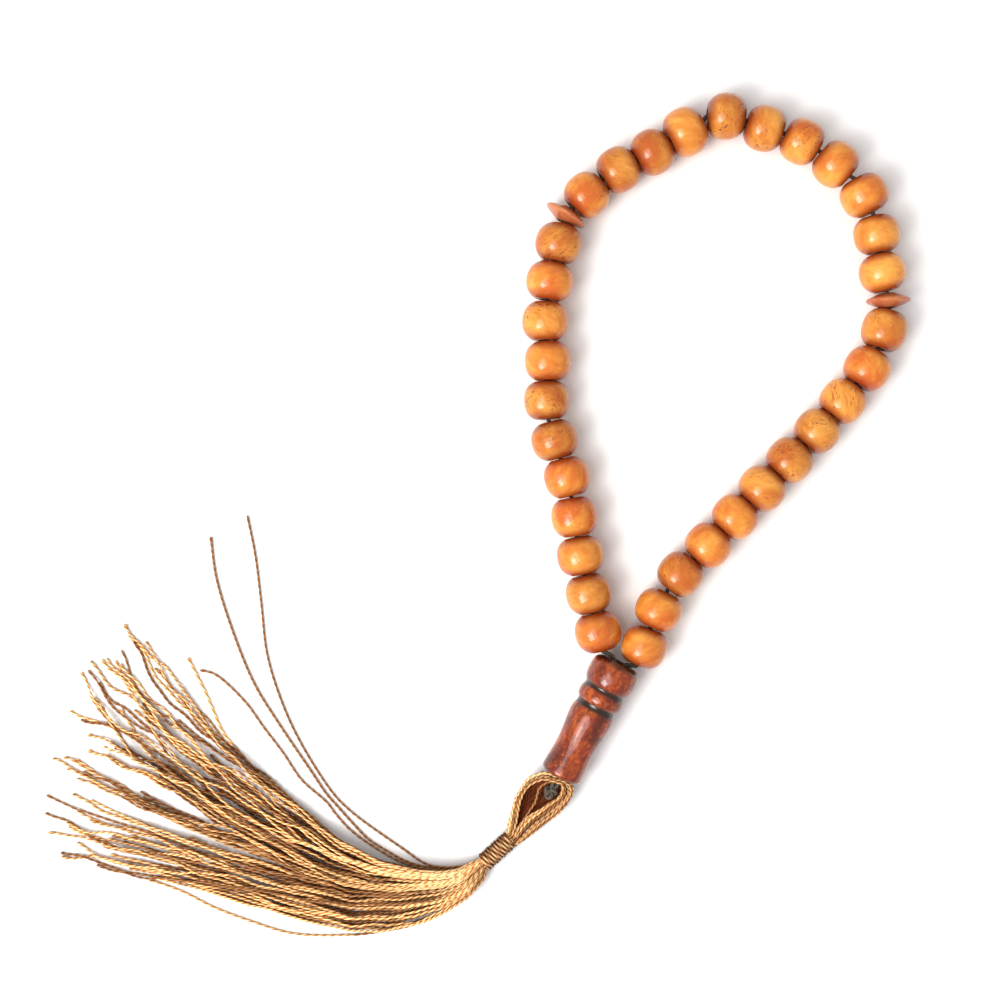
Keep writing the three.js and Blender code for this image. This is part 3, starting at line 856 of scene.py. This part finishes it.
def skirt_strand(thread, pile, crown):
    """The mesh of a laid thread: swollen at its cut end, with painted shade where it lies low in the bundle.
    """
    path, radius = thread["path"], thread["radius"]
    travelled = length_along(path)
    left = travelled[-1] - travelled
    swell = rng.uniform(1.05, 1.5)
    size = radius * (1 + (swell - 1) * np.clip(1 - left / 1.6, 0, 1))
    size *= np.clip(0.55 + left / 0.5, 0.55, 1)
    size *= 0.62 + 0.38 * ease(travelled / 4.5)
    path = path + UP * np.maximum(size - radius, 0)[:, None]
    thread["path"] = path
    tint = rng.uniform(-0.95, 0.7) + 0.25 * np.sin(travelled / 7.0 + rng.uniform(0, 6))
    # The under threads stay darker: painted shade for the lower layer of the skirt.
    if thread["layer"] != UNDER:
        tint += 0.8
    # Painted shade where the thread lies below the top of the pile, more so further out, and on the under
    # threads.
    outwards = ease((travelled - 4.0) / 26.0)
    deep = (0.2 + 0.5 * outwards) * ease((pile.depth(path, crown) - radius - 0.45) / 0.9)
    if thread["layer"] == UNDER:
        deep = np.maximum(deep, 0.05 + 0.4 * outwards)
    # Some threads are of a darker tone all along.
    if rng.uniform() < 0.18:
        deep = np.maximum(deep, 0.72)
    # Painted shade along the skirt's lower edge near the binding.
    if thread["across"] > 0.84:
        deep = np.maximum(deep, 0.6 * (1 - ease((travelled - 3.0) / 16.0)))
    tint = np.clip(tint - 0.7 * np.clip(1 - left / 1.2, 0, 1), -1, 1)
    # Painted shade on the sides and underside of each thread, fading towards the tips.
    flank_shade = (0.45 if thread["layer"] == STRAY else 0.85) - 0.45 * ease(travelled / 60.0)
    pitch = THREAD_PITCH * rng.uniform(0.85, 1.35)
    return strand_mesh(path, size, pitch, any_phase(), tint, deep=deep, flank_shade=flank_shade)


def add_skirt():
    material = thread_material("tassel_silk", **SILK)
    pile = Pile()
    threads = skirt_threads()
    gather(threads)
    for thread in threads:
        settle(thread, pile)

    def reach(thread):
        return np.linalg.norm(thread["path"][-1, :2] - BINDING_FOOT[:2]) + 500 * (thread["layer"] == STRAY)

    threads.sort(key=reach, reverse=True)
    crown = pile.crown()
    hidden = {}
    for index, thread in enumerate(threads):
        mesh = skirt_strand(thread, pile, crown)
        if index >= DECLARED_CORDS:
            hidden.setdefault(thread["node"], []).append(mesh)
            continue
        piece = add_piece(thread["name"], *mesh[:2], material, mesh[2])
        finish_skirt_piece(piece, thread["node"])
    for node, strands in hidden.items():
        finish_skirt_piece(join_strands(f"{node}_threads", strands, material), node)


def finish_skirt_piece(piece, node):
    """Hide the CAD part that the piece replaces, and bake the piece's place into its mesh; nothing is bent.

    No thread turns back past its start.
    """
    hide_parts(node)
    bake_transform(piece)


# The eye: loops of thread that hang on the cord below the imam and come down to the binding on both sides.
# The upper loops bow out in two bundles, and the lower ones fill the space behind them.
EYE_LEFT_OUTER = [(14.6, -47.9), (12.6, -47.0), (9.6, -48.2), (8.0, -50.4), (7.1, -52.4), (6.5, -54.6),
                  (6.0, -56.8), (5.5, -59.2)]
EYE_LEFT_INNER = [(14.3, -48.9), (12.6, -48.5), (10.6, -49.1), (9.2, -50.4), (8.4, -52.2), (8.0, -54.2),
                  (7.6, -56.6), (6.5, -59.5)]
EYE_RIGHT_OUTER = [(15.6, -48.3), (17.5, -49.5), (17.5, -51.0), (16.7, -52.9), (15.0, -54.8), (12.7, -56.7),
                   (10.4, -58.5), (8.0, -60.3)]
EYE_RIGHT_INNER = [(15.6, -49.2), (15.6, -50.3), (14.8, -51.8), (12.9, -53.1), (10.8, -54.2), (8.9, -55.4),
                   (7.6, -57.2), (6.5, -59.6)]
EYE_SINGLE = [(14.2, -48.6), (13.2, -48.7), (11.5, -50.0), (11.1, -51.4), (11.0, -52.6), (9.9, -54.4),
              (8.0, -57.3), (6.5, -59.4)]
EYE_TOP_LIFT = [4.6, 4.5, 4.0, 3.6, 3.2, 2.8, 2.5, 2.2]  # height of the upper loops along each side
EYE_LOW_LIFT = [3.0, 2.2, 1.4, 0.9, 0.7, 0.6, 0.7, 1.0]
EYE_UPPER_LOOPS, EYE_LOWER_LOOPS, EYE_BACK_THREADS = 12, 12, 22


def eye_side(outer, inner, share, lift, lower):
    """One side of a loop, from the imam to the binding; a share above 1 goes on past the inner outline."""
    outer, inner = np.array(outer), np.array(inner)
    close = np.linspace(0, 1, len(outer)) ** 2
    share = np.where(share > 1, 1 + (share - 1) * (1 - close), share)[:, None]
    plan = outer * (1 - share) + inner * share
    return np.column_stack([plan, np.array(EYE_LOW_LIFT if lower else EYE_TOP_LIFT) + lift])


def eye_loop(loop):
    """The mesh of one loop. The lower loops come first, and a single bright thread last."""
    lower = loop < EYE_LOWER_LOOPS
    single = loop == EYE_UPPER_LOOPS + EYE_LOWER_LOOPS
    if lower:
        place = (loop + 0.5) / EYE_LOWER_LOOPS
        shares = 0.7 + 2.2 * place, 0.04 + 1.6 * ((place * 7.3) % 1)
        lift = rng.uniform(-0.15, 0.35)
    else:
        place = (loop - EYE_LOWER_LOOPS + 0.5) / EYE_UPPER_LOOPS
        shares = 0.75 * ((place * 3.0) % 1), 0.95 * place
        lift = rng.uniform(-0.6, 0.35)
    spread = [np.full(len(EYE_TOP_LIFT), share + rng.uniform(-0.1, 0.1)) for share in shares]
    left = eye_side(EYE_LEFT_OUTER, EYE_LEFT_INNER, spread[0], lift, lower)
    right = eye_side(EYE_RIGHT_OUTER, EYE_RIGHT_INNER, spread[1], lift, lower)
    if single:
        left = np.column_stack([EYE_SINGLE, np.array(EYE_TOP_LIFT) - 0.3])
    ends = []
    for _ in range(2):
        u, v = rng.uniform(-0.9, 0.9), rng.uniform(-0.8, 0.8)
        ends.append(BINDING_TOP - binding_axis * 2.0 + binding_side * u + UP * v)
    route = np.vstack([[ends[0]], left[::-1], right, [ends[1]]])
    route[2:-2, :2] += rng.uniform(-0.13, 0.13, (len(route) - 4, 2))
    path = smooth_route(route, RING_STEP)
    path[:, 2] = np.maximum(path[:, 2], THREAD_RADIUS + 0.04)
    travelled = length_along(path)
    edge = np.minimum(travelled, travelled[-1] - travelled)
    size = THREAD_RADIUS * 1.05 * (0.62 + 0.38 * ease(edge / 4.0))
    # Painted shade: the lower loops are very dark, and some upper loops are darkened at random so that dark
    # lines show between the strands.
    tint = rng.uniform(-1.0, -0.75) if lower else rng.uniform(-0.6, 1.0)
    flank_shade = 0.9
    if single:
        tint, flank_shade = 1.0, 0.2
    deep = 0.95 if lower else rng.choice([0.0, 0.0, 0.3, 0.75, 0.9])
    pitch = 0.85 * THREAD_PITCH * rng.uniform(0.9, 1.1)
    return strand_mesh(path, size, pitch, any_phase(), tint, deep=deep, flank_shade=flank_shade)


def eye_back_thread(place):
    """The mesh of one of the threads behind the eye, darkened as painted shade; place goes from 0 to 1 across
    it.
    """
    left, right = np.array(EYE_LEFT_INNER[1:-1]), np.array(EYE_RIGHT_INNER[1:-1])
    share = -0.1 + 1.2 * place
    plan = left * (1 - share) + right * share + rng.uniform(-0.2, 0.2, left.shape)
    height = np.linspace(2.4, 0.9, len(plan)) * rng.uniform(0.35, 1.0)
    route = np.vstack([[14.0, -49.4, 3.2], np.column_stack([plan, height]), [*BINDING_TOP[:2], 1.2]])
    path = smooth_route(route, RING_STEP)
    path[:, 2] = np.maximum(path[:, 2], THREAD_RADIUS + 0.04)
    size = np.full(len(path), THREAD_RADIUS)
    return strand_mesh(path, size, THREAD_PITCH, any_phase(), rng.uniform(-1.0, 0.5), deep=0.95)


def add_eye():
    material = thread_material("eye_silk", **SILK)
    strands = [eye_loop(loop) for loop in range(EYE_UPPER_LOOPS + EYE_LOWER_LOOPS + 1)]
    for k in range(EYE_BACK_THREADS):
        strands.append(eye_back_thread((k + rng.uniform(0.2, 0.8)) / EYE_BACK_THREADS))
    piece = join_strands("tassel_eye_threads", strands, material)
    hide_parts("tassel_eye_left", "tassel_eye_right", "tassel_eye_back")
    bend_at_imam(piece)


# The binding: one thread wound round the gathered threads, and the gathered threads themselves.
BINDING_TURNS = 11
WINDING_RADIUS = 1.5
WOUND_THREAD_RADIUS = 0.3
CORE_RINGS = ((0.0, 1), (0.45, 6), (0.88, 12))  # distance from the middle and number of threads


def add_binding():
    material = thread_material("binding_silk", roughness=0.32, **WOUND_SILK)
    length = np.linalg.norm(BINDING_TOP - BINDING_FOOT)
    turns = np.linspace(0, BINDING_TURNS, BINDING_TURNS * 34)
    angle = 2 * math.pi * turns
    up = WOUND_THREAD_RADIUS + (length - 2 * WOUND_THREAD_RADIUS) * turns / BINDING_TURNS
    reach = WINDING_RADIUS * (1 + 0.025 * np.sin(turns * 2.3) + 0.02 * np.sin(angle * 0.37))
    path = BINDING_FOOT + up[:, None] * binding_axis + (reach * np.cos(angle))[:, None] * binding_side \
        + (reach * np.sin(angle))[:, None] * UP
    tint = np.clip(-0.5 + 0.3 * np.sin(turns * 1.9) + 0.2 * np.sin(turns * 5.1), -1, 1)
    # Painted shade on the sides and underside of each turn; the top of each turn stays light.
    deep = 0.9 * ease((1.05 - np.sin(angle)) / 0.7)
    size = np.full(len(path), WOUND_THREAD_RADIUS)
    mesh = strand_mesh(path, size, 1.5 * THREAD_PITCH, 0.0, tint, pinch=0.08, deep=deep)
    piece = add_piece("tassel_binding_wound", *mesh[:2], material, mesh[2])
    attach(piece, "tassel_head")
    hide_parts("tassel_binding")

    core_material = thread_material("core_silk", **SILK)
    strands = []
    for ring, count in CORE_RINGS:
        for k in range(count):
            a = 2 * math.pi * k / count
            offset = ring * (math.cos(a) * binding_side + math.sin(a) * UP)
            ends = BINDING_TOP + offset, BINDING_FOOT + offset
            route = smooth_route([ends[0], (BINDING_TOP + BINDING_FOOT) / 2 + offset, ends[1]], 0.5)
            strands.append(strand_mesh(route, np.full(len(route), 0.24), THREAD_PITCH, a, -0.3, sides=6))
    piece = join_strands("tassel_core_threads", strands, core_material)
    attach(piece, "tassel_head")
    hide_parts("tassel_core")


add_camera()
add_skirt()
add_eye()
add_binding()
add_cord()
add_beads()
add_discs()
add_imam()
add_floor()
add_light()
